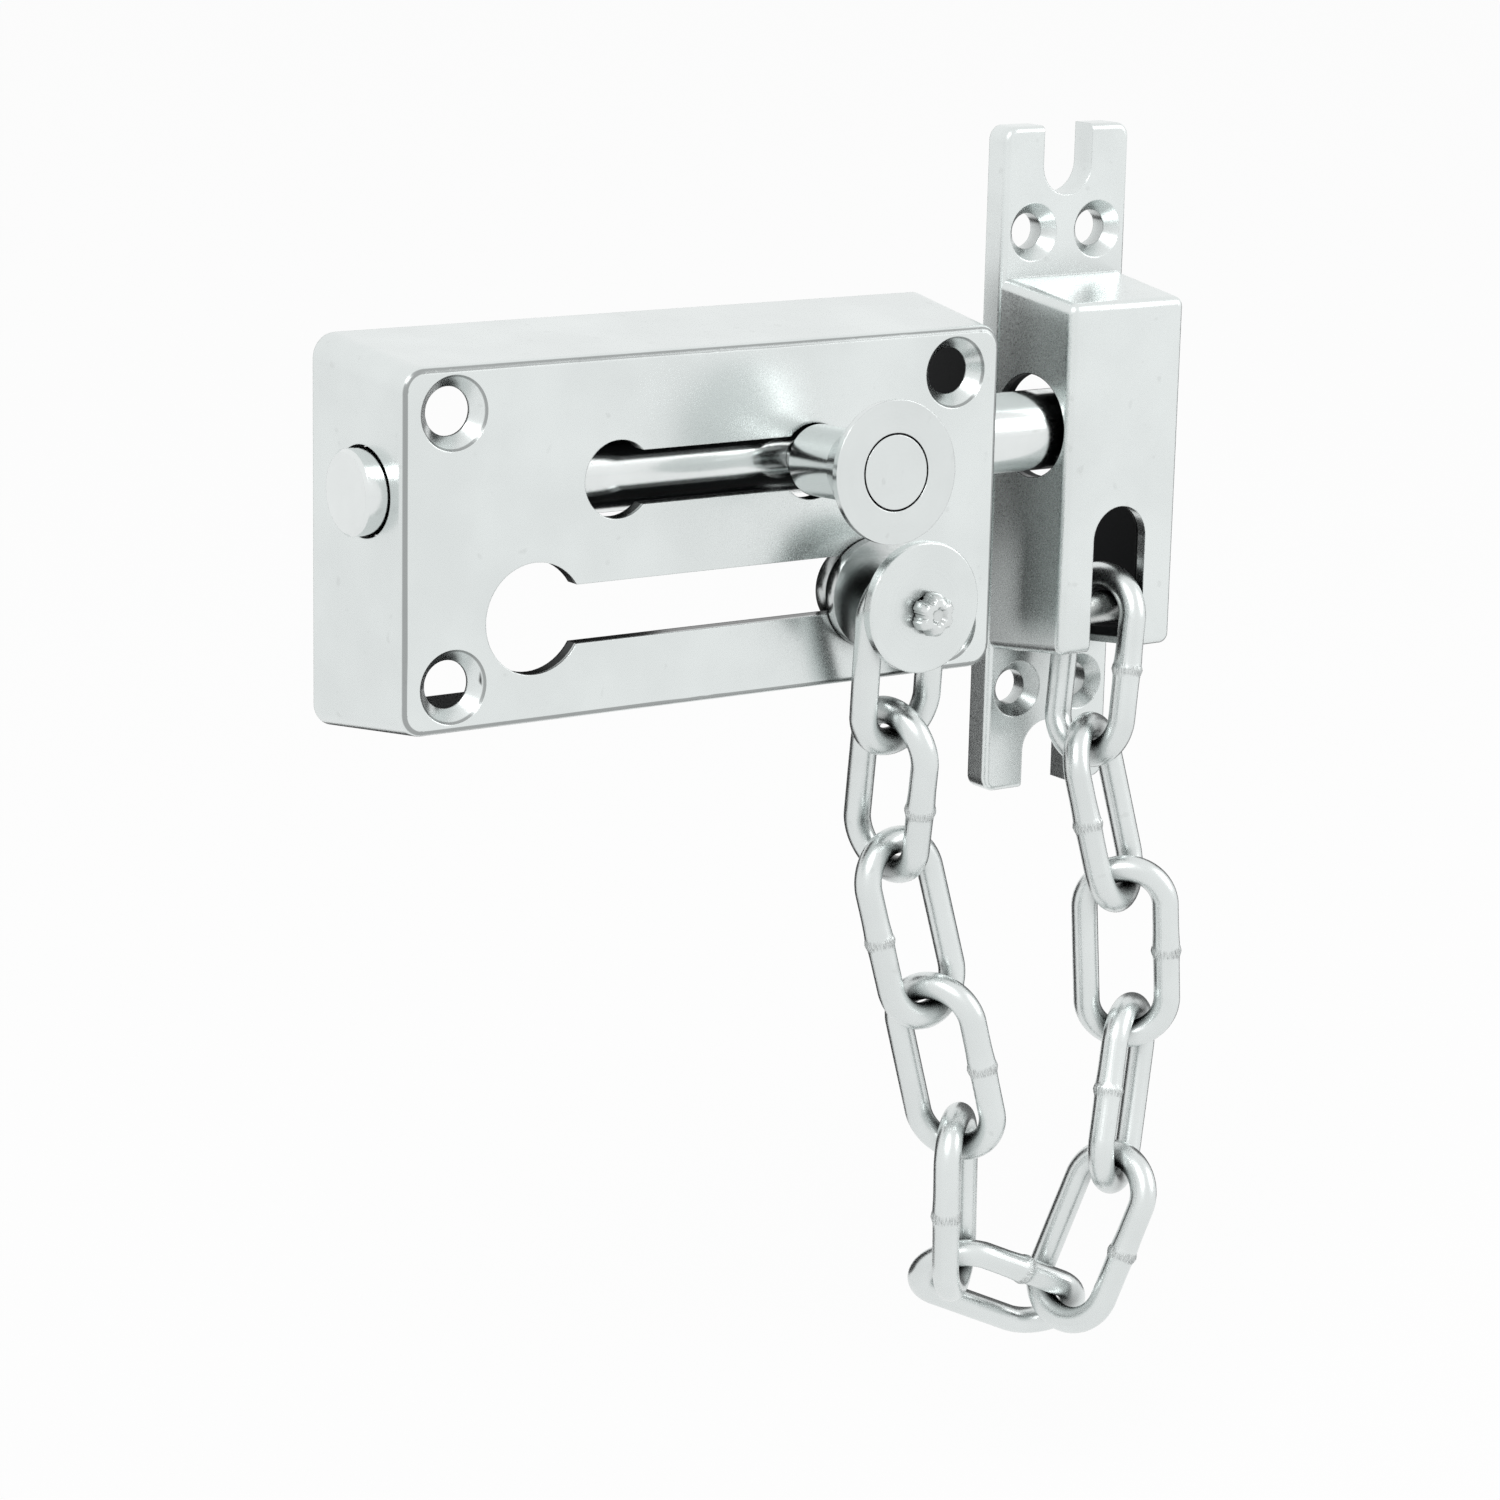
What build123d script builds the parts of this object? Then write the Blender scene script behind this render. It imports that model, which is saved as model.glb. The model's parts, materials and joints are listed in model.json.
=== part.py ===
import os
from math import cos, radians, sin

from build123d import *
from scipy.optimize import fsolve

os.makedirs("parts", exist_ok=True)

# Millimetres. X runs along the case towards the keeper, Z is up, and the back
# of the case lies on the door in the plane Y = 0 with its centre at the origin.
# Depths are counted from that plane towards the room, so a depth is -Y.

# fits
slide_gap = 0.3  # between pieces that move past each other
bore_gap = 0.4  # round the bolt in the case
sleeve_gap = 0.2  # round the stem in the knob
lock_gap = 0.4  # round the knob's neck in the ends of its slot

# case
case_w = 102.4  # front face
case_h = 52.0
case_d = 21.5
case_draft = 2.4  # how far the back stands out past the front, each side
case_wall = 2.5
case_corner = 3.5
case_edge = 1.1
screw_in_x = 8.2  # from the edges of the front face
screw_in_z = 6.6
screw_d = 7.0
screw_head_d = 10.8

# bolt and knob
bolt_d = 12.4
bolt_back = 9.5  # bolt's axis behind the case front
bolt_z = 7.7
bolt_out = 2.7  # left end past the case
bolt_in = 19.2  # right end past the keeper's side
bolt_chamfer = 0.5
bolt_travel = 33.5
knob_end = 33.7  # from the case's right edge
knob_tilt = 3.6  # the round bolt lets the knob stand turned up a little
knob_slot_z = 8.0
knob_slot_h = 7.9
neck_d = 10.6
neck_l = 10.4
neck_chamfer = 0.8
neck_floor = 1.8
neck_clear = 0.65  # neck in front of the case, drawn out of its lock
cone_l = 8.8
rim_d = 20.8
rim_l = 1.0
stem_d = 5.0
stem_seat = 3.0  # past the bolt's centre
stem_head_d = 10.7
stem_head_l = 2.0
head_recess_d = 11.3
head_recess_l = 2.6
spring_wire = 0.9
spring_d = 6.9
spring_turns = 6

# chain button
button_end = 22.4  # from the case's right edge
button_travel = 58.5
button_slot_z = -10.9
button_slot_h = 8.6
button_entry_d = 16.2
button_head_d = 13.0
button_head_l = 2.6
button_neck_d = 5.0
button_flange_d = 16.8
button_flange_l = 1.7
button_spindle_d = 4.6
button_groove = 9.4
washer_d = 19.6
washer_l = 2.0
washer_edge = 0.4
rivet_d = 3.6
rivet_head_d = 6.4
rivet_head_l = 3.2
rivet_dome = 1.3

# keeper
keeper_gap = 12.9  # from the case front's edge
keeper_z = 0.9
plate_w = 24.0
plate_h = 105.0
plate_t = 4.5
plate_corner = 2.2
plate_edge = 0.9
keeper_screw_x = 12.4
keeper_screw_z = 72.4
keeper_screw_d = 5.6
keeper_screw_head_d = 9.0
notch_w = 9.4
notch_l = 10.7
box_h = 59.6
box_d = 21.0
box_draft_x = 1.0
box_draft_z = 2.6
box_wall = 2.4
box_corner = 1.6
box_edge = 1.3
keeper_bore_d = 16.0
keeper_bore_up = 0.7  # above the bolt's axis
arch_w = 10.2
arch_top = -3.7
pin_d = 5.0
pin_z = -20.5
pin_seat = 1.2  # into the blind side wall

# chain
wire = 4.2
link_l = 32.4
link_w = 17.0
weld_l = 6.4
weld_h = 0.3
first_link_back = 3.7  # behind the button's washer
last_link_side = 1.1  # from the keeper's middle
link_gap = 0.3
# How each link hangs, in degrees: lean towards the keeper, swing towards the
# room and turn about its own length. The two lowest links close the loop.
link_angles = [
    (8, -14, 6),
    (11, -20, -82),
    (12, 7, 187),
    (15, 1, -61),
    (2, -1, 221),
    (64, 0, -46),
    (-21, -7, -73),
    (-16, 11, 209),
    (6, -2, -36),
    (11, 8, 210),
    (-8, 4, -78),
]

# planes and places worked out from the sizes
front = Plane.XZ.offset(case_d)
bolt_depth = case_d - bolt_back
knob_x = case_w / 2 - knob_end
button_x = case_w / 2 - button_end
keeper_x = case_w / 2 + keeper_gap + plate_w / 2
knob_axis = Vector(0, -cos(radians(knob_tilt)), sin(radians(knob_tilt)))
knob_origin = Vector(knob_x, -bolt_depth, bolt_z)
knob_plane = Plane(origin=knob_origin, x_dir=(1, 0, 0), z_dir=knob_axis)
knob_side = Plane(origin=knob_origin, x_dir=(1, 0, 0), z_dir=Vector(1, 0, 0).cross(knob_axis))
bolt_left = -case_w / 2 - case_draft * (1 - bolt_depth / case_d) - bolt_out
bolt_l = keeper_x - plate_w / 2 + bolt_in - bolt_left
button_z = button_slot_z - button_slot_h / 2 + button_neck_d / 2 + slide_gap / 2
button_side = Plane(origin=(button_x, 0, button_z), x_dir=(1, 0, 0), z_dir=(0, 0, -1))
keeper_back = Plane(origin=(keeper_x, 0, keeper_z), x_dir=(1, 0, 0), z_dir=(0, -1, 0))
pin_depth = box_d - box_wall - pin_d / 2 - slide_gap

with BuildPart() as case:
    with BuildSketch(Plane.XZ):
        RectangleRounded(case_w + 2 * case_draft, case_h + 2 * case_draft, case_corner)
    with BuildSketch(front):
        RectangleRounded(case_w, case_h, case_corner)
    loft()
    fillet(case.faces().sort_by(Axis.Y)[0].edges(), case_edge)
    inner_draft = case_draft * case_wall / case_d - case_wall
    with BuildSketch(Plane.XZ):
        RectangleRounded(
            case_w + 2 * (case_draft - case_wall),
            case_h + 2 * (case_draft - case_wall),
            case_corner - case_wall,
        )
    with BuildSketch(Plane.XZ.offset(case_d - case_wall)):
        RectangleRounded(
            case_w + 2 * inner_draft, case_h + 2 * inner_draft, case_corner - case_wall
        )
    loft(mode=Mode.SUBTRACT)
    with Locations(front):
        with GridLocations(case_w - 2 * screw_in_x, case_h - 2 * screw_in_z, 2, 2):
            CounterSinkHole(screw_d / 2, screw_head_d / 2, depth=case_wall)
    with BuildSketch(front):
        with Locations((knob_x - bolt_travel / 2, knob_slot_z)):
            Rectangle(bolt_travel, knob_slot_h)
        with Locations((knob_x, knob_slot_z), (knob_x - bolt_travel, knob_slot_z)):
            Circle(neck_d / 2 + lock_gap)
        with Locations((button_x - button_travel / 2, button_slot_z)):
            Rectangle(button_travel, button_slot_h)
        with Locations((button_x, button_slot_z)):
            Circle(button_slot_h / 2)
        with Locations((button_x - button_travel, button_slot_z)):
            Circle(button_entry_d / 2)
    extrude(amount=-1.5 * case_wall, mode=Mode.SUBTRACT)
    with BuildSketch(Plane(origin=(0, -bolt_depth, bolt_z), z_dir=(1, 0, 0))):
        Circle(bolt_d / 2 + bore_gap)
    extrude(amount=case_w, both=True, mode=Mode.SUBTRACT)

with BuildPart() as bolt:
    with BuildSketch(Plane(origin=(bolt_left, -bolt_depth, bolt_z), z_dir=(1, 0, 0))):
        Circle(bolt_d / 2)
    extrude(amount=bolt_l)
    chamfer(bolt.edges().filter_by(GeomType.CIRCLE), bolt_chamfer)
    with BuildSketch(knob_plane.offset(-stem_seat)):
        Circle(stem_d / 2)
    extrude(amount=stem_seat + bolt_d, mode=Mode.SUBTRACT)

# Heights along the knob's axis from the middle of the bolt. The neck's end
# stays clear of the case front all round while the knob is drawn.
neck_start = (case_d - bolt_depth) / cos(radians(knob_tilt)) + neck_clear
cone_start = neck_start + neck_l
rim_start = cone_start + cone_l
knob_face = rim_start + rim_l
recess_start = knob_face - head_recess_l
head_start = knob_face - stem_head_l
spring_bore = (spring_d + spring_wire) / 2 + sleeve_gap
stem_bore = stem_d / 2 + sleeve_gap

with BuildPart() as sleeve:
    with BuildSketch(knob_side):
        with BuildLine():
            Polyline(
                (stem_bore, neck_start),
                (neck_d / 2 - neck_chamfer, neck_start),
                (neck_d / 2, neck_start + neck_chamfer),
                (neck_d / 2, cone_start),
                (rim_d / 2, rim_start),
                (rim_d / 2, knob_face),
                (head_recess_d / 2, knob_face),
                (head_recess_d / 2, recess_start),
                (spring_bore, recess_start),
                (spring_bore, neck_start + neck_floor),
                (stem_bore, neck_start + neck_floor),
                close=True,
            )
        make_face()
    revolve(axis=Axis(knob_origin, knob_axis))

with BuildPart() as stem:
    with BuildSketch(knob_side):
        with BuildLine():
            Polyline(
                (0, -stem_seat),
                (stem_d / 2, -stem_seat),
                (stem_d / 2, head_start),
                (stem_head_d / 2, head_start),
                (stem_head_d / 2, knob_face),
                (0, knob_face),
                close=True,
            )
        make_face()
    revolve(axis=Axis(knob_origin, knob_axis))

spring_start = neck_start + neck_floor + spring_wire / 2
spring_l = head_start - spring_wire / 2 - spring_start
with BuildPart() as spring:
    with BuildLine() as coil:
        Helix(
            pitch=spring_l / spring_turns,
            height=spring_l,
            radius=spring_d / 2,
            center=knob_origin + knob_axis * spring_start,
            direction=knob_axis,
        )
    with BuildSketch(Plane(origin=coil.line @ 0, z_dir=coil.line % 0)):
        Circle(spring_wire / 2)
    sweep(path=coil.line)

# depths of the button's steps, from the inside of the case to the room
head_front = case_d - case_wall - slide_gap
flange_back = case_d + slide_gap
flange_front = flange_back + button_flange_l
washer_back = flange_front + button_groove
washer_front = washer_back + washer_l

with BuildPart() as button:
    with BuildSketch(button_side):
        with BuildLine():
            Polyline(
                (0, head_front - button_head_l),
                (button_head_d / 2, head_front - button_head_l),
                (button_head_d / 2, head_front),
                (button_neck_d / 2, head_front),
                (button_neck_d / 2, flange_back),
                (button_flange_d / 2, flange_back),
                (button_flange_d / 2, flange_front),
                (button_spindle_d / 2, flange_front),
                (button_spindle_d / 2, washer_back),
                (rivet_d / 2, washer_back),
                (rivet_d / 2, washer_front),
                (rivet_head_d / 2, washer_front),
                (rivet_head_d / 2, washer_front + rivet_head_l - rivet_dome),
            )
            RadiusArc(
                (rivet_head_d / 2, washer_front + rivet_head_l - rivet_dome),
                (0, washer_front + rivet_head_l),
                -((rivet_head_d / 2) ** 2 + rivet_dome**2) / (2 * rivet_dome),
            )
            Line((0, washer_front + rivet_head_l), (0, head_front - button_head_l))
        make_face()
    revolve(axis=Axis(button_side.origin, button_side.y_dir))

with BuildPart() as washer:
    with BuildSketch(Plane(origin=button_side.origin - Vector(0, washer_back, 0), z_dir=(0, -1, 0))):
        Circle(washer_d / 2)
        Circle(rivet_d / 2, mode=Mode.SUBTRACT)
    extrude(amount=washer_l)
    fillet(washer.edges().filter_by(GeomType.CIRCLE).group_by(SortBy.RADIUS)[-1], washer_edge)

with BuildPart() as keeper:
    with BuildSketch(keeper_back):
        Rectangle(plate_w, plate_h)
    extrude(amount=plate_t)
    fillet(keeper.edges().filter_by(Axis.Y), plate_corner)
    fillet(keeper.faces().sort_by(Axis.Y)[0].edges(), plate_edge)
    with BuildSketch(keeper_back):
        RectangleRounded(plate_w, box_h, box_corner)
    with BuildSketch(keeper_back.offset(box_d)):
        RectangleRounded(plate_w - 2 * box_draft_x, box_h - 2 * box_draft_z, box_corner)
    loft()
    fillet(keeper.faces().sort_by(Axis.Y)[0].edges(), box_edge)
    with BuildSketch(keeper_back):
        Rectangle(plate_w - 2 * box_wall, box_h - 2 * box_wall)
    with BuildSketch(keeper_back.offset(box_d - box_wall)):
        Rectangle(
            plate_w - 2 * box_draft_x - 2 * box_wall, box_h - 2 * box_draft_z - 2 * box_wall
        )
    loft(mode=Mode.SUBTRACT)
    with BuildSketch(keeper_back):
        for end in (1, -1):
            with Locations((0, end * (plate_h / 2 - notch_l + notch_w / 2))):
                Circle(notch_w / 2)
            with Locations((0, end * (plate_h / 2 - (notch_l - notch_w / 2) / 2))):
                Rectangle(notch_w, notch_l - notch_w / 2)
    extrude(amount=plate_t, mode=Mode.SUBTRACT)
    with Locations(keeper_back.offset(plate_t)):
        with GridLocations(keeper_screw_x, keeper_screw_z, 2, 2):
            CounterSinkHole(keeper_screw_d / 2, keeper_screw_head_d / 2, depth=plate_t)
    bore_place = (keeper_x, -bolt_depth, bolt_z + keeper_bore_up)
    with BuildSketch(Plane(origin=bore_place, z_dir=(-1, 0, 0))):
        Circle(keeper_bore_d / 2)
    extrude(amount=plate_w, mode=Mode.SUBTRACT)
    arch_l = arch_top - (keeper_z - box_h / 2)
    with BuildSketch(Plane(origin=(keeper_x, -box_d, arch_top), x_dir=(1, 0, 0), z_dir=(0, -1, 0))):
        with Locations((0, -arch_w / 2)):
            Circle(arch_w / 2)
        with Locations((0, -(arch_w / 2 + arch_l) / 2)):
            Rectangle(arch_w, arch_l - arch_w / 2)
    extrude(amount=plate_t - box_d, mode=Mode.SUBTRACT)
    blind_wall = box_wall - pin_seat
    with BuildSketch(
        Plane(origin=(keeper_x - plate_w / 2 + blind_wall, -pin_depth, pin_z), z_dir=(1, 0, 0))
    ):
        Circle(pin_d / 2)
    extrude(amount=plate_w, mode=Mode.SUBTRACT)

with BuildPart() as pin:
    with BuildSketch(
        Plane(origin=(keeper_x - plate_w / 2 + blind_wall, -pin_depth, pin_z), z_dir=(1, 0, 0))
    ):
        Circle(pin_d / 2)
    extrude(amount=plate_w - blind_wall - box_draft_x)

# chain: the ends of a link are half circles round its end centres
bend_r = (link_w - wire) / 2
end_gap = link_l - link_w
nest = 2 * bend_r - wire - link_gap  # between the end centres of two hooked links


def hang(lean, swing, turn):
    lean, swing, turn = radians(lean), radians(swing), radians(turn)
    side = Vector(cos(lean), 0, sin(lean))
    down = Vector(sin(lean) * cos(swing), -sin(swing), -cos(lean) * cos(swing))
    across = side * cos(turn) + side.cross(down) * sin(turn)
    return down, across, down.cross(across)


def hooked(normal, other_normal, along):
    line = normal.cross(other_normal).normalized()
    return line if line.dot(along) > 0 else line * -1


def strand(hanger, hanger_d, hangs):
    # end centres and frames of links that hang one below the other
    links = []
    for turns in hangs:
        down, across, normal = hang(*turns)
        if links:
            _, low, last_down, _, last_normal = links[-1]
            top = low + hooked(last_normal, normal, last_down + down) * nest
        else:
            top = hanger + down * (bend_r - hanger_d / 2 - wire / 2 - link_gap)
        links.append((top, top + down * end_gap, down, across, normal))
    return links


def strands(close):
    low_lean, low_swing, next_lean = close
    hangs = list(link_angles)
    hangs[5] = (low_lean, low_swing, hangs[5][2])
    hangs[6] = (next_lean, hangs[6][1], hangs[6][2])
    button_hook = Vector(button_x, first_link_back - washer_back, button_z)
    keeper_hook = Vector(keeper_x + last_link_side, -pin_depth, pin_z)
    left = strand(button_hook, button_spindle_d, hangs[:6])
    right = strand(keeper_hook, pin_d, hangs[:5:-1])
    return left, right


def loop_error(close):
    left, right = strands(close)
    low, other = left[-1], right[-1]
    line = hooked(low[4], other[4], low[2] - other[2])
    return tuple(other[1] - (low[1] + line * nest))


closing = fsolve(loop_error, (link_angles[5][0], link_angles[5][1], link_angles[6][0]))
left_links, right_links = strands(closing)


def chain_link(place):
    leg = Axis(place.origin + place.x_dir * bend_r, place.y_dir)
    with BuildPart() as link:
        with BuildLine(place) as loop:
            Line((bend_r, -end_gap / 2), (bend_r, end_gap / 2))
            CenterArc((0, end_gap / 2), bend_r, 0, 180)
            Line((-bend_r, end_gap / 2), (-bend_r, -end_gap / 2))
            CenterArc((0, -end_gap / 2), bend_r, 180, 180)
        with BuildSketch(Plane(origin=loop.line @ 0, z_dir=loop.line % 0)):
            Circle(wire / 2)
        sweep(path=loop.line)
        with BuildSketch(place):
            with BuildLine():
                ThreePointArc(
                    (bend_r, weld_l / 2), (bend_r + wire / 2 + weld_h, 0), (bend_r, -weld_l / 2)
                )
                Line((bend_r, -weld_l / 2), (bend_r, weld_l / 2))
            make_face()
        revolve(axis=leg)
    return link


chain = []
for top, low, down, across, normal in left_links + right_links[::-1]:
    chain.append(chain_link(Plane(origin=(top + low) / 2, x_dir=across, z_dir=normal)))

case.part.label = "lock_case"
export_step(case.part, "parts/lock_case.step")
bolt.part.label = "bolt"
export_step(bolt.part, "parts/bolt.step")
sleeve.part.label = "knob_sleeve"
export_step(sleeve.part, "parts/knob_sleeve.step")
stem.part.label = "knob_stem"
export_step(stem.part, "parts/knob_stem.step")
spring.part.label = "knob_spring"
export_step(spring.part, "parts/knob_spring.step")
button.part.label = "chain_button"
export_step(button.part, "parts/chain_button.step")
washer.part.label = "button_washer"
export_step(washer.part, "parts/button_washer.step")
keeper.part.label = "keeper"
export_step(keeper.part, "parts/keeper.step")
pin.part.label = "anchor_pin"
export_step(pin.part, "parts/anchor_pin.step")
for number, link in enumerate(chain, 1):
    link.part.label = f"chain_link_{number:02d}"
    export_step(link.part, f"parts/chain_link_{number:02d}.step")
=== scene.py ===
import json
from math import cos, exp, pi, radians, sin

import bmesh
import bpy
import numpy as np
from mathutils import Matrix, Vector


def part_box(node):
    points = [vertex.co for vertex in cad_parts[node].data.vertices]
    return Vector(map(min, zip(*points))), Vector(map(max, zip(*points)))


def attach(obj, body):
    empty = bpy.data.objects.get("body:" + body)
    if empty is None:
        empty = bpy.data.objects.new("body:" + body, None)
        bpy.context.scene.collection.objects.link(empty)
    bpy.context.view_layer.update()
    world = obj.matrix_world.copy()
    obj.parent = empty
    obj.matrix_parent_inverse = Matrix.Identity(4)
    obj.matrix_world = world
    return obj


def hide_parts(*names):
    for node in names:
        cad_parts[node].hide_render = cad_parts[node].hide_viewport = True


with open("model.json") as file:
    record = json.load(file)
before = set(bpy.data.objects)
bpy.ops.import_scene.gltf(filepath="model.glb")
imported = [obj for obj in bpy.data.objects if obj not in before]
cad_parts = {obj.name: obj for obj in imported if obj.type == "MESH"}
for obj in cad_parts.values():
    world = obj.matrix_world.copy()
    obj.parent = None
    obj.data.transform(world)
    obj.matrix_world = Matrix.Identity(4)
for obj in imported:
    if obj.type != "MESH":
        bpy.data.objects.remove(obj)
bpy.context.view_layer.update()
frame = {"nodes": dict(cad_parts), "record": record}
mm = 0.001
print("frame loaded")


def pickNone():
    bpy.ops.object.select_all(action="DESELECT")


def pickOnly(obj):
    pickNone()
    obj.select_set(True)
    bpy.context.view_layer.objects.active = obj


def selectPoints(obj, wanted):
    # in edit mode: selects the points that pass a test of their place
    bpy.ops.mesh.select_mode(type="VERT")
    bpy.ops.mesh.select_all(action="DESELECT")
    work = bmesh.from_edit_mesh(obj.data)
    for point in work.verts:
        point.select = wanted(point.co)
    work.select_flush(True)
    bmesh.update_edit_mesh(obj.data)


def selectEdges(obj, wanted):
    bpy.ops.mesh.select_mode(type="EDGE")
    bpy.ops.mesh.select_all(action="DESELECT")
    work = bmesh.from_edit_mesh(obj.data)
    for edge in work.edges:
        edge.select = wanted(edge.verts[0].co, edge.verts[1].co)
    work.select_flush(True)
    bmesh.update_edit_mesh(obj.data)


# camera at the photograph's place, found from the corners of the case
cameraSetup = {
    "place": (-0.33879, -0.53125, 0.11472),
    "turn": (76.400, -1.229, -33.890),
    "lens": 103.24,
}


def addCamera():
    bpy.ops.object.camera_add(location=cameraSetup["place"])
    camera = bpy.context.object
    camera.name = "photoCamera"
    camera.rotation_euler = [radians(a) for a in cameraSetup["turn"]]
    camera.data.lens = cameraSetup["lens"]
    camera.data.sensor_width = 36.0
    camera.data.dof.use_dof = False
    bpy.context.scene.camera = camera


addCamera()

# white studio: pale floor, white surround and dark flags that only the metal sees
studio = {
    "floorHeight": -0.17,
    "floorSize": 8.0,
    "floorWhite": 0.92,
    "floorGlow": 0.90,
    "surroundLight": 0.75,
}
flags = {
    # name: place, what it faces, width, height, grey
    "flagBehindCase": ((-0.002, 0.040, 0.000), (-0.002, 0, 0.000), 0.066, 0.046, 0.01),
    "flagLeftLow": ((0.020, 0.100, -0.100), (0.055, -0.025, -0.09), 0.10, 0.14, 0.04),
    "flagRightLow": ((0.190, 0.060, -0.070), (0.060, -0.025, -0.07), 0.13, 0.19, 0.12),
}
lamps = {
    # name: place, size, watts
    "keyLamp": ((-0.9, -0.9, 1.1), 0.8, 7.0),
    "fillLamp": ((1.2, -0.9, 0.6), 0.9, 4.0),
}


def litLikeBackdrop(tree):
    # 1 for rays that should see plain white: from the camera, off metal and through glass
    path = tree.nodes.new("ShaderNodeLightPath")
    first = tree.nodes.new("ShaderNodeMath")
    first.operation = "MAXIMUM"
    tree.links.new(path.outputs["Is Camera Ray"], first.inputs[0])
    tree.links.new(path.outputs["Is Glossy Ray"], first.inputs[1])
    second = tree.nodes.new("ShaderNodeMath")
    second.operation = "MAXIMUM"
    tree.links.new(first.outputs[0], second.inputs[0])
    tree.links.new(path.outputs["Is Transmission Ray"], second.inputs[1])
    return second.outputs[0]


def addSurround():
    world = bpy.data.worlds.new("whiteSurround")
    bpy.context.scene.world = world
    world.use_nodes = True
    tree = world.node_tree
    background = tree.nodes["Background"]
    background.inputs["Color"].default_value = (1, 1, 1, 1)
    strength = tree.nodes.new("ShaderNodeMapRange")
    strength.inputs["To Min"].default_value = studio["surroundLight"]
    strength.inputs["To Max"].default_value = 1.0
    tree.links.new(litLikeBackdrop(tree), strength.inputs["Value"])
    tree.links.new(strength.outputs["Result"], background.inputs["Strength"])


def addFloor():
    bpy.ops.mesh.primitive_plane_add(size=studio["floorSize"], location=(0, 0, studio["floorHeight"]))
    floor = bpy.context.object
    floor.name = "floor"
    material = bpy.data.materials.new("floorPaper")
    material.use_nodes = True
    tree = material.node_tree
    tree.nodes.clear()
    paper = tree.nodes.new("ShaderNodeBsdfDiffuse")
    white = studio["floorWhite"]
    paper.inputs["Color"].default_value = (white, white, white, 1)
    glow = tree.nodes.new("ShaderNodeEmission")
    share = tree.nodes.new("ShaderNodeMath")
    share.operation = "MULTIPLY"
    share.inputs[1].default_value = studio["floorGlow"]
    tree.links.new(litLikeBackdrop(tree), share.inputs[0])
    mix = tree.nodes.new("ShaderNodeMixShader")
    tree.links.new(share.outputs[0], mix.inputs["Fac"])
    tree.links.new(paper.outputs[0], mix.inputs[1])
    tree.links.new(glow.outputs[0], mix.inputs[2])
    output = tree.nodes.new("ShaderNodeOutputMaterial")
    tree.links.new(mix.outputs[0], output.inputs["Surface"])
    floor.data.materials.append(material)


def addFlag(name, place, facing, width, height, grey):
    bpy.ops.mesh.primitive_plane_add(size=1, location=place)
    flag = bpy.context.object
    flag.name = name
    flag.rotation_euler = (Vector(facing) - Vector(place)).to_track_quat("Z", "Y").to_euler()
    flag.scale = (width, height, 1)
    cloth = bpy.data.materials.new(name + "Cloth")
    cloth.use_nodes = True
    tree = cloth.node_tree
    tree.nodes.clear()
    dark = tree.nodes.new("ShaderNodeEmission")
    dark.inputs["Color"].default_value = (grey, grey, grey, 1)
    output = tree.nodes.new("ShaderNodeOutputMaterial")
    tree.links.new(dark.outputs[0], output.inputs["Surface"])
    flag.data.materials.append(cloth)
    flag.visible_camera = False
    flag.visible_diffuse = False
    flag.visible_shadow = False


def addLamp(name, place, size, watts):
    bpy.ops.object.light_add(type="AREA", location=place)
    lamp = bpy.context.object
    lamp.name = name
    lamp.data.shape = "DISK"
    lamp.data.size = size
    lamp.data.energy = watts
    aim = -lamp.location
    lamp.rotation_euler = aim.to_track_quat("-Z", "Y").to_euler()


addSurround()
addFloor()
for flagName, flagSetup in flags.items():
    addFlag(flagName, *flagSetup)
for lampName, lampSetup in lamps.items():
    addLamp(lampName, *lampSetup)
bpy.context.scene.view_settings.view_transform = "Standard"
print("camera and studio ready")


# shader node groups shared by the finishes
def addNode(tree, kind, **values):
    node = tree.nodes.new(kind)
    for key, value in values.items():
        setattr(node, key, value)
    return node


def plug(tree, target, source):
    # a socket is linked, anything else is set as the socket's own value
    if isinstance(source, bpy.types.NodeSocket):
        tree.links.new(source, target)
    else:
        target.default_value = source


def math(tree, operation, first, second=0.0, clamp=False):
    node = addNode(tree, "ShaderNodeMath", operation=operation, use_clamp=clamp)
    plug(tree, node.inputs[0], first)
    plug(tree, node.inputs[1], second)
    return node.outputs[0]


def vectorMath(tree, operation, first, second=(0, 0, 0)):
    node = addNode(tree, "ShaderNodeVectorMath", operation=operation)
    plug(tree, node.inputs[0], first)
    plug(tree, node.inputs[1], second)
    return node.outputs["Value"] if operation in ("DOT_PRODUCT", "LENGTH") else node.outputs["Vector"]


def spread(tree, value, low, high, newLow=0.0, newHigh=1.0):
    node = addNode(tree, "ShaderNodeMapRange", interpolation_type="SMOOTHSTEP")
    plug(tree, node.inputs["Value"], value)
    plug(tree, node.inputs["From Min"], low)
    plug(tree, node.inputs["From Max"], high)
    plug(tree, node.inputs["To Min"], newLow)
    plug(tree, node.inputs["To Max"], newHigh)
    return node.outputs["Result"]


def mixColour(tree, share, first, second):
    node = addNode(tree, "ShaderNodeMix", data_type="RGBA")
    plug(tree, node.inputs["Factor"], share)
    plug(tree, node.inputs[6], first)
    plug(tree, node.inputs[7], second)
    return node.outputs[2]


def noise(tree, place, scale, detail=2.0, roughness=0.5):
    node = addNode(tree, "ShaderNodeTexNoise")
    plug(tree, node.inputs["Vector"], place)
    plug(tree, node.inputs["Scale"], scale)
    node.inputs["Detail"].default_value = detail
    node.inputs["Roughness"].default_value = roughness
    return node.outputs["Fac"]


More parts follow.
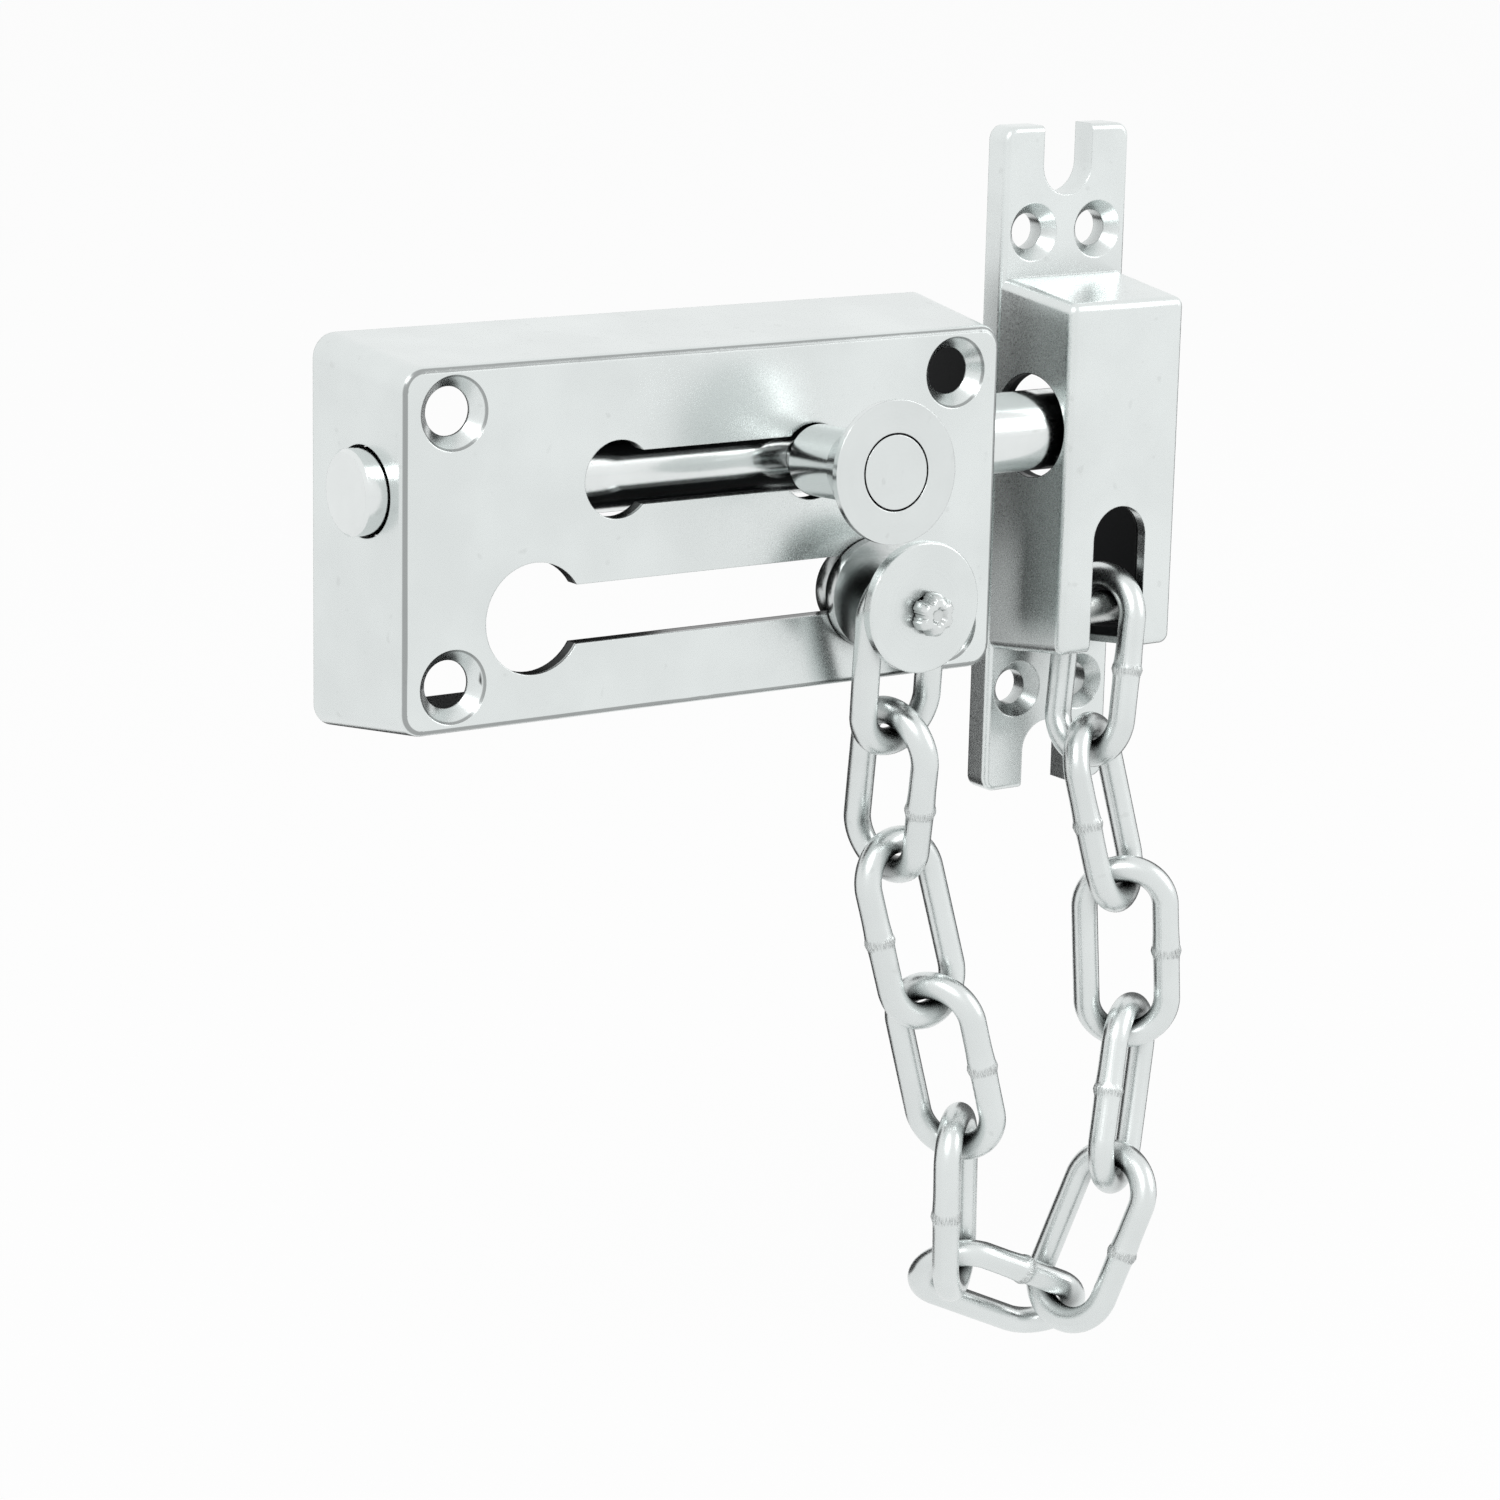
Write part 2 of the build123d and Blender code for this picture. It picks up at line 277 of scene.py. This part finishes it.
def startGroup(name, inputs, outputs):
    group = bpy.data.node_groups.new(name, "ShaderNodeTree")
    for label, kind, value in inputs:
        socket = group.interface.new_socket(label, in_out="INPUT", socket_type="NodeSocket" + kind)
        socket.default_value = value
    for label in outputs:
        group.interface.new_socket(label, in_out="OUTPUT", socket_type="NodeSocketFloat")
    return group, group.nodes.new("NodeGroupInput"), group.nodes.new("NodeGroupOutput")


def makeSatinGrain():
    # fine grain of the plating, broad clouds and a few small pits
    group, start, end = startGroup(
        "satinGrain",
        [("Grain Scale", "Float", 3500.0), ("Cloud Scale", "Float", 55.0), ("Pit Scale", "Float", 420.0)],
        ["Grain", "Cloud", "Pits"],
    )
    place = group.nodes.new("ShaderNodeTexCoord").outputs["Object"]
    plug(group, end.inputs["Grain"], noise(group, place, start.outputs["Grain Scale"], 3.0, 0.6))
    clouds = noise(group, place, start.outputs["Cloud Scale"], 4.0, 0.55)
    plug(group, end.inputs["Cloud"], spread(group, clouds, 0.3, 0.7))
    pits = noise(group, place, start.outputs["Pit Scale"], 1.0)
    plug(group, end.inputs["Pits"], spread(group, pits, 0.70, 0.78))
    return group


def makeHollowMask():
    # 1 inside a hollow that widens with depth and has round corners, 0 outside it
    group, start, end = startGroup(
        "hollowMask",
        [
            ("Middle", "Vector", (0, 0, 0)),
            ("Half Size", "Vector", (1, 0, 1)),
            ("Draft", "Vector", (0, 0, 0)),
            ("Corner", "Float", 0.001),
            ("Softness", "Float", 0.0003),
        ],
        ["Mask"],
    )
    place = group.nodes.new("ShaderNodeTexCoord").outputs["Object"]
    away = vectorMath(group, "SUBTRACT", place, start.outputs["Middle"])
    parts = addNode(group, "ShaderNodeSeparateXYZ")
    plug(group, parts.inputs[0], away)
    depth = parts.outputs["Y"]
    wider = addNode(group, "ShaderNodeVectorMath", operation="SCALE")
    plug(group, wider.inputs[0], start.outputs["Draft"])
    plug(group, wider.inputs["Scale"], depth)
    half = vectorMath(group, "ADD", start.outputs["Half Size"], wider.outputs["Vector"])
    past = addNode(group, "ShaderNodeSeparateXYZ")
    plug(group, past.inputs[0], vectorMath(group, "SUBTRACT", vectorMath(group, "ABSOLUTE", away), half))
    corner = start.outputs["Corner"]
    beyondX = math(group, "ADD", past.outputs["X"], corner)
    beyondZ = math(group, "ADD", past.outputs["Z"], corner)
    outX = math(group, "MAXIMUM", beyondX, 0.0)
    outZ = math(group, "MAXIMUM", beyondZ, 0.0)
    squares = math(group, "ADD", math(group, "MULTIPLY", outX, outX), math(group, "MULTIPLY", outZ, outZ))
    reach = math(group, "SQRT", squares)
    soft = start.outputs["Softness"]
    within = spread(group, math(group, "SUBTRACT", reach, corner), 0.0, soft, 1.0, 0.0)
    deep = spread(group, depth, 0.0, soft)
    plug(group, end.inputs["Mask"], math(group, "MULTIPLY", within, deep))
    return group


def makeTurnedMarks():
    # rings that a lathe tool leaves, round an axis
    group, start, end = startGroup(
        "turnedMarks",
        [("Middle", "Vector", (0, 0, 0)), ("Axis", "Vector", (0, 1, 0)), ("Pitch", "Float", 0.0004)],
        ["Rings", "Radius"],
    )
    place = group.nodes.new("ShaderNodeTexCoord").outputs["Object"]
    away = vectorMath(group, "SUBTRACT", place, start.outputs["Middle"])
    along = vectorMath(group, "DOT_PRODUCT", away, start.outputs["Axis"])
    beside = addNode(group, "ShaderNodeVectorMath", operation="SCALE")
    plug(group, beside.inputs[0], start.outputs["Axis"])
    plug(group, beside.inputs["Scale"], along)
    radius = vectorMath(group, "LENGTH", vectorMath(group, "SUBTRACT", away, beside.outputs["Vector"]))
    turns = math(group, "DIVIDE", radius, start.outputs["Pitch"])
    wander = addNode(group, "ShaderNodeTexNoise", noise_dimensions="1D")
    plug(group, wander.inputs["W"], turns)
    wander.inputs["Scale"].default_value = 1.0
    wander.inputs["Detail"].default_value = 3.0
    plug(group, end.inputs["Rings"], wander.outputs["Fac"])
    plug(group, end.inputs["Radius"], radius)
    return group


def makeDepthLine():
    # a thin line where depth behind a front plane lies between two values
    group, start, end = startGroup(
        "depthLine",
        [("Front", "Float", 0.0), ("From", "Float", 0.00003), ("To", "Float", 0.0003)],
        ["Line"],
    )
    sides = addNode(group, "ShaderNodeSeparateXYZ")
    plug(group, sides.inputs[0], group.nodes.new("ShaderNodeTexCoord").outputs["Object"])
    depth = math(group, "SUBTRACT", sides.outputs["Y"], start.outputs["Front"])
    begin = spread(group, depth, math(group, "MULTIPLY", start.outputs["From"], 0.5), start.outputs["From"])
    farEnd = math(group, "MULTIPLY", start.outputs["To"], 1.6)
    stop = spread(group, depth, start.outputs["To"], farEnd, 1.0, 0.0)
    plug(group, end.inputs["Line"], math(group, "MULTIPLY", begin, stop))
    return group


satinGrain = makeSatinGrain()
hollowMask = makeHollowMask()
turnedMarks = makeTurnedMarks()
depthLine = makeDepthLine()


def useGroup(tree, group, **values):
    node = addNode(tree, "ShaderNodeGroup", node_tree=group)
    for key, value in values.items():
        node.inputs[key.replace("_", " ")].default_value = value
    return node


caseLow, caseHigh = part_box("lock_case")
keeperLow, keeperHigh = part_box("keeper")
nickel = (0.770, 0.808, 0.802)
finishes = {
    # colour, roughness, grain in the bump, rounding of sharp edges in mm
    "case_plating": {"colour": nickel, "roughness": 0.25, "bump": 0.010, "edge": 0.25},
    "keeper_plating": {"colour": nickel, "roughness": 0.27, "bump": 0.012, "edge": 0.3},
    "bolt_plating": {"colour": (0.80, 0.83, 0.825), "roughness": 0.16, "bump": 0.02, "edge": 0.2},
    "knob_plating": {"colour": (0.745, 0.78, 0.775), "roughness": 0.19, "bump": 0.03, "edge": 0.25},
    "stem_plating": {"colour": (0.745, 0.78, 0.775), "roughness": 0.22, "bump": 0.03, "edge": 0.2},
    "spring_steel": {"colour": (0.42, 0.42, 0.41), "roughness": 0.32, "bump": 0.05, "edge": 0.0},
    "button_plating": {"colour": (0.74, 0.77, 0.765), "roughness": 0.22, "bump": 0.04, "edge": 0.2},
    "washer_plating": {"colour": nickel, "roughness": 0.24, "bump": 0.04, "edge": 0.2},
    "pin_steel": {"colour": (0.62, 0.64, 0.63), "roughness": 0.28, "bump": 0.05, "edge": 0.2},
    "chain_plating": {"colour": (0.755, 0.79, 0.785), "roughness": 0.28, "bump": 0.03, "edge": 0.0},
}
# insides of the hollows painted nearly black as shade, over the bare cast metal; in mm: wall beside each
# hollow, its corners, and the depth at which it starts
hollows = {
    "case_plating": {
        "box": (caseLow, caseHigh),
        "wall": 2.5,
        "lug": 0,
        "draft": (2.4, 2.4),
        "corner": 2.2,
        "start": 2.1,
    },
    "keeper_plating": {
        "box": (keeperLow, keeperHigh),
        "wall": 2.4,
        "lug": 22.7,
        "draft": (1.0, 2.6),
        "corner": 0.6,
        "start": 1.6,
    },
}
# walls of the case's slots and of the keeper's bolt hole, painted dark as shade; in mm
shadedSlotWalls = {
    "left": -38.2,
    "right": 36.0,
    "low": -20.0,
    "high": 15.0,
    "start": 0.4,
    "colour": (0.05, 0.053, 0.053),
}
shadedBoltHole = {"up": 0.7, "radius": 8.1, "end": 70.0, "colour": (0.05, 0.053, 0.053)}
turnedPieces = {
    "knob_plating": "knob_sleeve",
    "stem_plating": "knob_stem",
    "washer_plating": "button_washer",
    "button_plating": "chain_button",
}
# painted shade: the colour goes dark in recesses, creases and where parts touch, found by ambient occlusion;
# reach in mm
paintedRecessShade = {"reach": 6.0, "deep": 0.0, "open": 0.62, "colour": (0.06, 0.065, 0.065)}
deeperRecessShade = {
    "button_plating": {"reach": 16.0, "open": 0.95},
    "chain_plating": {"reach": 9.0, "open": 0.80},
    "keeper_plating": {"reach": 12.0, "open": 0.80},
}
# painted shade: nearly black colour for the insides of the hollows, and their roughness
paintedHollowShade = {"colour": (0.012, 0.013, 0.014), "roughness": 0.55}
# marks in the plating, and a painted dark line of shade round the case's front: shares of a second colour,
# and how far the grain moves the roughness
marksAndEdgeShade = {
    "dull": 0.93,
    "pitShare": 0.12,
    "pitColour": (0.3, 0.31, 0.3),
    "smoother": 0.04,
    "rougher": 0.05,
    "ringHeight": 0.8,
    "ringShare": 0.10,
    "ringColour": (0.5, 0.52, 0.51),
    # painted shade: a dark line round the edges of the case's front
    "paintedEdgeShare": 0.6,
    "paintedEdgeColour": (0.10, 0.105, 0.105),
    "bumpDepth": 0.2,  # mm
}


def areaCentre(nodeName):
    # middle of a node's skin: on the axis of a turned piece
    mesh = frame["nodes"][nodeName].data
    areas = np.empty(len(mesh.polygons))
    centres = np.empty(len(mesh.polygons) * 3)
    mesh.polygons.foreach_get("area", areas)
    mesh.polygons.foreach_get("center", centres)
    centres = centres.reshape(-1, 3)
    return areas, centres, (centres * areas[:, None]).sum(0) / areas.sum()


def jointAxis(name):
    for joint in frame["record"]["behaviour"]["joints"]:
        if joint["name"] == name:
            return Vector(joint["axis"])
    return Vector((0, 1, 0))


def hollowBox(hollow):
    low, high = hollow["box"]
    depth = (high.y - low.y) / mm
    start = hollow["start"]
    middle = (low + high) / 2
    middle.y = low.y + start * mm
    draftX, draftZ = hollow["draft"]
    halfX = (high.x - low.x) / 2 / mm - draftX * (1 - start / depth) - hollow["wall"] / 2
    halfZ = (high.z - low.z) / 2 / mm - hollow["lug"] - draftZ * (1 - start / depth) - hollow["wall"] / 2
    return {
        "Middle": middle,
        "Half_Size": (halfX * mm, 0, halfZ * mm),
        "Draft": (draftX / depth, 0, draftZ / depth),
        "Corner": hollow["corner"] * mm,
    }


def slotBox():
    return {
        "Middle": (
            (shadedSlotWalls["left"] + shadedSlotWalls["right"]) / 2 * mm,
            caseLow.y + shadedSlotWalls["start"] * mm,
            (shadedSlotWalls["low"] + shadedSlotWalls["high"]) / 2 * mm,
        ),
        "Half_Size": (
            (shadedSlotWalls["right"] - shadedSlotWalls["left"]) / 2 * mm,
            0,
            (shadedSlotWalls["high"] - shadedSlotWalls["low"]) / 2 * mm,
        ),
        "Corner": mm,
    }


def boltHoleMask(tree):
    # 1 on the wall of the keeper's hole, on the side where the bolt comes in
    low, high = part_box("bolt")
    middle = (low + high) / 2 + Vector((0, 0, shadedBoltHole["up"] * mm))
    reach = useGroup(tree, turnedMarks, Middle=middle, Axis=(1, 0, 0)).outputs["Radius"]
    sides = addNode(tree, "ShaderNodeSeparateXYZ")
    plug(tree, sides.inputs[0], tree.nodes.new("ShaderNodeTexCoord").outputs["Object"])
    near = math(tree, "LESS_THAN", reach, shadedBoltHole["radius"] * mm)
    return math(tree, "MULTIPLY", near, math(tree, "LESS_THAN", sides.outputs["X"], shadedBoltHole["end"] * mm))


def plateMaterial(name, finish):
    material = bpy.data.materials.new(name)
    material.use_nodes = True
    tree = material.node_tree
    shader = tree.nodes["Principled BSDF"]
    grain = useGroup(tree, satinGrain)
    bright = finish["colour"]
    dull = [c * marksAndEdgeShade["dull"] for c in bright]
    colour = mixColour(tree, grain.outputs["Cloud"], (*dull, 1), (*bright, 1))
    pitShare = math(tree, "MULTIPLY", grain.outputs["Pits"], marksAndEdgeShade["pitShare"])
    colour = mixColour(tree, pitShare, colour, (*marksAndEdgeShade["pitColour"], 1))
    # painted shade: ambient occlusion darkens the colour in recesses and between parts
    recess = addNode(tree, "ShaderNodeAmbientOcclusion", samples=8)
    recessShadeSetup = {**paintedRecessShade, **deeperRecessShade.get(name, {})}
    recess.inputs["Distance"].default_value = recessShadeSetup["reach"] * mm
    unshadedShare = spread(tree, recess.outputs["AO"], recessShadeSetup["deep"], recessShadeSetup["open"])
    colour = mixColour(tree, unshadedShare, (*paintedRecessShade["colour"], 1), colour)
    plain = finish["roughness"]
    rough = spread(
        tree, grain.outputs["Grain"], 0.25, 0.75, plain - marksAndEdgeShade["smoother"], plain + marksAndEdgeShade["rougher"]
    )
    height = grain.outputs["Grain"]
    if name in turnedPieces:
        axis = jointAxis("knob_lock") if name in ("knob_plating", "stem_plating") else Vector((0, 1, 0))
        marks = useGroup(tree, turnedMarks, Middle=areaCentre(turnedPieces[name])[2], Axis=axis)
        height = math(tree, "ADD", height, math(tree, "MULTIPLY", marks.outputs["Rings"], marksAndEdgeShade["ringHeight"]))
        ringShare = math(tree, "MULTIPLY", marks.outputs["Rings"], marksAndEdgeShade["ringShare"])
        colour = mixColour(tree, ringShare, colour, (*marksAndEdgeShade["ringColour"], 1))
    if name == "case_plating":
        # painted shade: a thin dark line just behind the front face of the case, round its edges
        line = useGroup(tree, depthLine, Front=caseLow.y)
        edgeShadeShare = math(tree, "MULTIPLY", line.outputs["Line"], marksAndEdgeShade["paintedEdgeShare"])
        colour = mixColour(tree, edgeShadeShare, colour, (*marksAndEdgeShade["paintedEdgeColour"], 1))
        # painted shade on the walls of the case's slots
        slotWallShade = useGroup(tree, hollowMask, **slotBox()).outputs["Mask"]
        colour = mixColour(tree, slotWallShade, colour, (*shadedSlotWalls["colour"], 1))
    if name == "keeper_plating":
        # painted shade on the wall of the keeper's bolt hole
        colour = mixColour(tree, boltHoleMask(tree), colour, (*shadedBoltHole["colour"], 1))
    if name in hollows:
        # painted shade: the insides of the hollows go nearly black
        inside = useGroup(tree, hollowMask, **hollowBox(hollows[name])).outputs["Mask"]
        colour = mixColour(tree, inside, colour, (*paintedHollowShade["colour"], 1))
        duller = math(tree, "MULTIPLY", inside, paintedHollowShade["roughness"] - plain)
        rough = math(tree, "ADD", rough, duller)
    plug(tree, shader.inputs["Base Color"], colour)
    plug(tree, shader.inputs["Roughness"], rough)
    shader.inputs["Metallic"].default_value = 1.0
    bump = addNode(tree, "ShaderNodeBump")
    bump.inputs["Strength"].default_value = finish["bump"]
    bump.inputs["Distance"].default_value = marksAndEdgeShade["bumpDepth"] * mm
    plug(tree, bump.inputs["Height"], height)
    if finish["edge"]:
        rounded = addNode(tree, "ShaderNodeBevel", samples=4)
        rounded.inputs["Radius"].default_value = finish["edge"] * mm
        plug(tree, bump.inputs["Normal"], rounded.outputs["Normal"])
    plug(tree, shader.inputs["Normal"], bump.outputs["Normal"])
    return material


metal = {}
for slotName, finish in finishes.items():
    metal[slotName] = plateMaterial(slotName, finish)

slotOf = {entry["node"]: entry["material_slot"] for entry in frame["record"]["subparts"]}
for nodeName, node in frame["nodes"].items():
    if not node.material_slots:
        node.data.materials.append(None)
    for place in node.material_slots:
        place.material = metal[slotOf[nodeName]]
print("finishes on")


# welded oval link, modelled once round its own middle and copied to each place
linkShape = {
    "wire": 4.2,
    "length": 32.4,
    "width": 17.0,
    "bendSteps": 96,
    "wireSides": 36,
    "weldCuts": 17,
    "flash": 0.10,  # share of the wire's thickness that the weld's ridge stands out
    "flashReach": 0.55,
    "upset": 0.05,  # thicker wire beside the ridge
    "upsetSide": 0.6,
    "upsetReach": 1.8,
    "ridgeRings": 8,  # rings that swell on each side of the weld
    "ragged": 0.05,
    "raggedReach": 0.7,
    "weldZone": 2.5,  # along the link from its middle, in the solid
    "bendZone": 6.0,
}


def modelLink():
    bend = (linkShape["width"] - linkShape["wire"]) / 2 * mm
    straight = (linkShape["length"] - linkShape["width"]) * mm
    pickNone()
    bpy.ops.mesh.primitive_torus_add(
        major_segments=linkShape["bendSteps"],
        minor_segments=linkShape["wireSides"],
        major_radius=bend,
        minor_radius=linkShape["wire"] / 2 * mm,
    )
    link = bpy.context.object
    link.name = "linkPattern"
    tiny = 0.01 * mm
    bpy.ops.object.mode_set(mode="EDIT")
    for end in (1, -1):  # the ring's halves are drawn apart into an oval
        selectPoints(link, lambda p: p.y * end > tiny)
        bpy.ops.transform.translate(value=(0, end * straight / 2, 0))
    selectEdges(link, lambda a, b: a.x > 0 and b.x > 0 and abs(a.y - b.y) > straight / 4)
    bpy.ops.mesh.subdivide(number_cuts=linkShape["weldCuts"])
    firstBend = straight / 2 + bend * sin(2 * pi / linkShape["bendSteps"])
    ringStep = firstBend / (linkShape["weldCuts"] + 1)
    rings = linkShape["ridgeRings"]
    for ring in range(-rings, rings + 1):  # the weld's ridge, with the wire upset on one side of it
        level = ring * ringStep
        along = level / mm
        swell = 1 + linkShape["flash"] * exp(-((along / linkShape["flashReach"]) ** 2))
        beside = (along - linkShape["upsetSide"]) / linkShape["upsetReach"]
        swell += linkShape["upset"] * exp(-(beside**2))
        selectPoints(link, lambda p: p.x > 0 and abs(p.y - level) < ringStep / 4)
        bpy.ops.transform.resize(value=(swell, 1, swell), center_override=(bend, level, 0))
    selectPoints(link, lambda p: p.x > 0 and abs(p.y) < linkShape["raggedReach"] * mm)
    bpy.ops.transform.vertex_random(offset=linkShape["ragged"] * mm, normal=0.7, seed=5)
    bpy.ops.object.mode_set(mode="OBJECT")
    bpy.ops.object.shade_smooth()
    return link


def linkPlace(nodeName):
    # a link's own axes: along its length, across it towards the weld, and square to both
    areas, centres, middle = areaCentre(nodeName)
    away = centres - middle
    axes = np.linalg.eigh((away * areas[:, None]).T @ away)[1]
    along, across = axes[:, 2], axes[:, 1]
    nearWeld = np.abs(away @ along) < linkShape["weldZone"] * mm
    if (away[nearWeld] @ across).sum() < 0:
        across = -across
    square = np.cross(across, along)
    ends = np.abs(away @ along) > linkShape["bendZone"] * mm
    for axis in (along, across, square):
        reach = away[ends] @ axis
        middle = middle + axis * (reach.max() + reach.min()) / 2
    turn = Matrix((across, along, square)).transposed().to_4x4()
    return Matrix.Translation(Vector(middle)) @ turn


def placeLinks():
    pattern = modelLink()
    for nodeName in sorted(name for name in frame["nodes"] if name.startswith("chain_link_")):
        pickOnly(pattern)
        bpy.ops.object.duplicate(linked=False)
        link = bpy.context.object
        number = nodeName[-2:]
        link.name = "chainLink" + number
        link.matrix_world = linkPlace(nodeName)
        bpy.ops.object.transform_apply(location=True, rotation=True, scale=True)
        link.data.materials.append(metal["chain_plating"])
        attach(link, "link_" + number)
        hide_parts(nodeName)
    pickOnly(pattern)
    bpy.ops.object.delete()


placeLinks()
print("chain links placed")

# chain button, turned from its inner head to the spindle's end, which is peened into a star
buttonShape = {
    "sides": 80,
    "steps": [
        # radius and depth in front of the door, in mm
        (6.5, 16.1),
        (6.5, 18.7),
        (2.5, 18.7),
        (2.5, 21.8),
        (8.4, 21.8),
        (8.4, 23.5),
        (2.3, 23.5),
        (2.3, 32.9),
        (1.8, 32.9),
        (1.8, 34.95),
        (3.0, 34.95),
        (3.3, 35.6),
        (3.1, 37.2),
        (2.5, 38.0),
        (1.5, 38.1),
        (0.9, 37.5),
    ],
    "starStart": 34.9,
    "lobes": 6,
    "core": 1.2,  # radius inside which the star stays round
    "groove": 0.80,  # what is left of the radius in the grooves between the lobes
    "grooveWidths": (0.992, 0.965),  # cosines: a narrow cut inside a wide one
    "lean": (0.5, -0.8),  # the hammered end has gone over to one side
    "edge": 0.2,
}


def modelButton():
    steps = buttonShape["steps"]
    pickNone()
    bpy.ops.mesh.primitive_circle_add(
        vertices=buttonShape["sides"],
        radius=steps[0][0] * mm,
        fill_type="NGON",
        location=(0, 0, 0),
    )
    button = bpy.context.object
    button.name = "chainButton"
    bpy.ops.object.mode_set(mode="EDIT")
    bpy.ops.mesh.select_all(action="SELECT")
    bpy.ops.transform.translate(value=(0, 0, steps[0][1] * mm))
    for (oldRadius, oldDepth), (radius, depth) in zip(steps, steps[1:]):
        bpy.ops.mesh.extrude_region_move(TRANSFORM_OT_translate={"value": (0, 0, (depth - oldDepth) * mm)})
        scale = radius / oldRadius
        bpy.ops.transform.resize(value=(scale, scale, 1), center_override=(0, 0, depth * mm))
    starStart = buttonShape["starStart"] * mm
    for lobe in range(buttonShape["lobes"]):
        angle = 2 * pi * lobe / buttonShape["lobes"]
        groove = Vector((cos(angle), sin(angle), 0))
        for width in buttonShape["grooveWidths"]:

            def inGroove(point):
                flat = Vector((point.x, point.y, 0))
                inStar = point.z > starStart and flat.length > buttonShape["core"] * mm
                return inStar and flat.normalized().dot(groove) > width

            selectPoints(button, inGroove)
            left = 1 - (1 - buttonShape["groove"]) / len(buttonShape["grooveWidths"])
            bpy.ops.transform.resize(value=(left, left, 1), center_override=(0, 0, starStart))
    selectPoints(button, lambda p: p.z > starStart + 0.02 * mm)
    leanX, leanZ = buttonShape["lean"]
    bpy.ops.transform.translate(value=(leanX * mm, leanZ * mm, 0))
    bpy.ops.mesh.select_all(action="SELECT")
    bpy.ops.mesh.normals_make_consistent(inside=False)
    bpy.ops.object.mode_set(mode="OBJECT")
    rounding = button.modifiers.new("turnedEdges", "BEVEL")
    rounding.width = buttonShape["edge"] * mm
    rounding.segments = 2
    rounding.limit_method = "ANGLE"
    rounding.angle_limit = radians(50)
    pickOnly(button)
    bpy.ops.object.modifier_apply(modifier=rounding.name)
    bpy.ops.object.shade_smooth_by_angle(angle=radians(40))
    return button


def placeButton():
    button = modelButton()
    low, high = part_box("chain_button")
    middle = (low + high) / 2
    middle.y = 0
    turn = Matrix(((1, 0, 0), (0, 0, -1), (0, 1, 0))).to_4x4()
    button.matrix_world = Matrix.Translation(middle) @ turn
    bpy.ops.object.transform_apply(location=True, rotation=True, scale=True)
    button.data.materials.append(metal["button_plating"])
    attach(button, "button")
    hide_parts("chain_button")


placeButton()
print("chain button placed")
